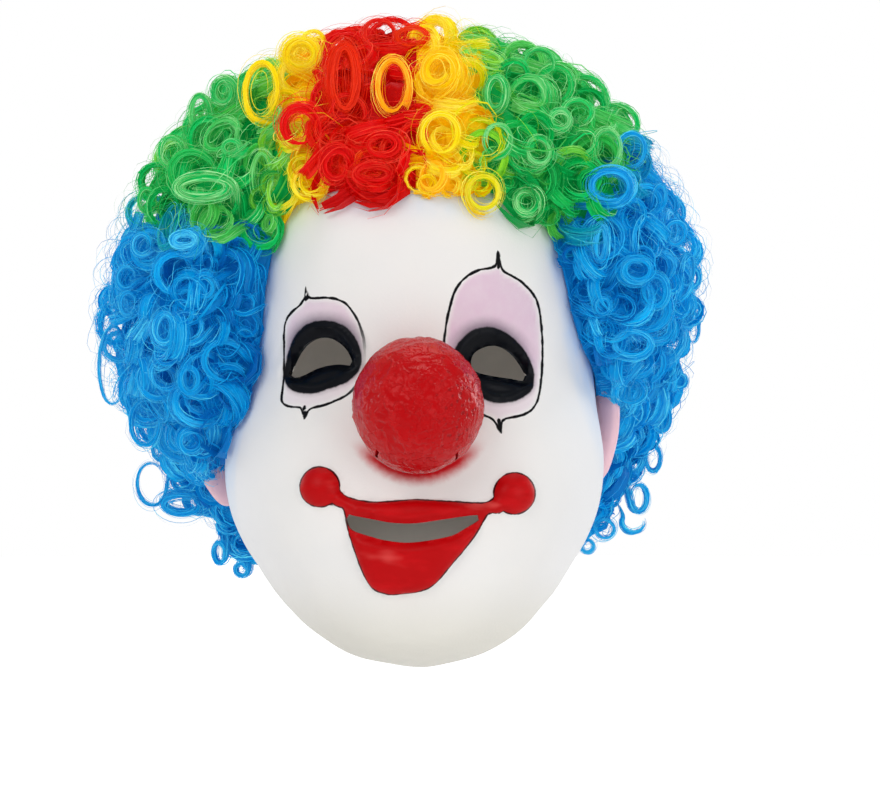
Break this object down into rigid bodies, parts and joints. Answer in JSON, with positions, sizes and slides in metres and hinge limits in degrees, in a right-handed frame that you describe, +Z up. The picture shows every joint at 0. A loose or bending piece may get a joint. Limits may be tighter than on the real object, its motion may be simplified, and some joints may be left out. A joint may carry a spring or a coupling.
{
  "type": "clown mask",
  "caption": "Full-head latex clown mask with cut eyes and mouth, a hollow ball nose, ears and a curly rainbow wig, open at the neck.",
  "frame": {"origin": "crown seat: the inside of the shell's top on the midline, where the top of the wearer's head bears", "axes": "+Z up, -Y the way the face looks, +X to the right as seen from in front"},
  "size_m": [0.2667, 0.272, 0.2642],
  "materials": {
    "latex": "matt white moulded latex with painted features",
    "nose_latex": "glossy red paint over a pebbled latex ball",
    "red_hair": "shiny curled synthetic fibre",
    "yellow_hair": "shiny curled synthetic fibre",
    "green_hair": "shiny curled synthetic fibre",
    "blue_hair": "shiny curled synthetic fibre"
  },
  "bodies": {
    "root": {"mask_shell": "latex", "nose": "nose_latex", "hair_red": "red_hair", "hair_yellow_left": "yellow_hair", "hair_yellow_right": "yellow_hair", "hair_green_left": "green_hair", "hair_green_right": "green_hair", "hair_blue": "blue_hair"}
  },
  "joints": []
}
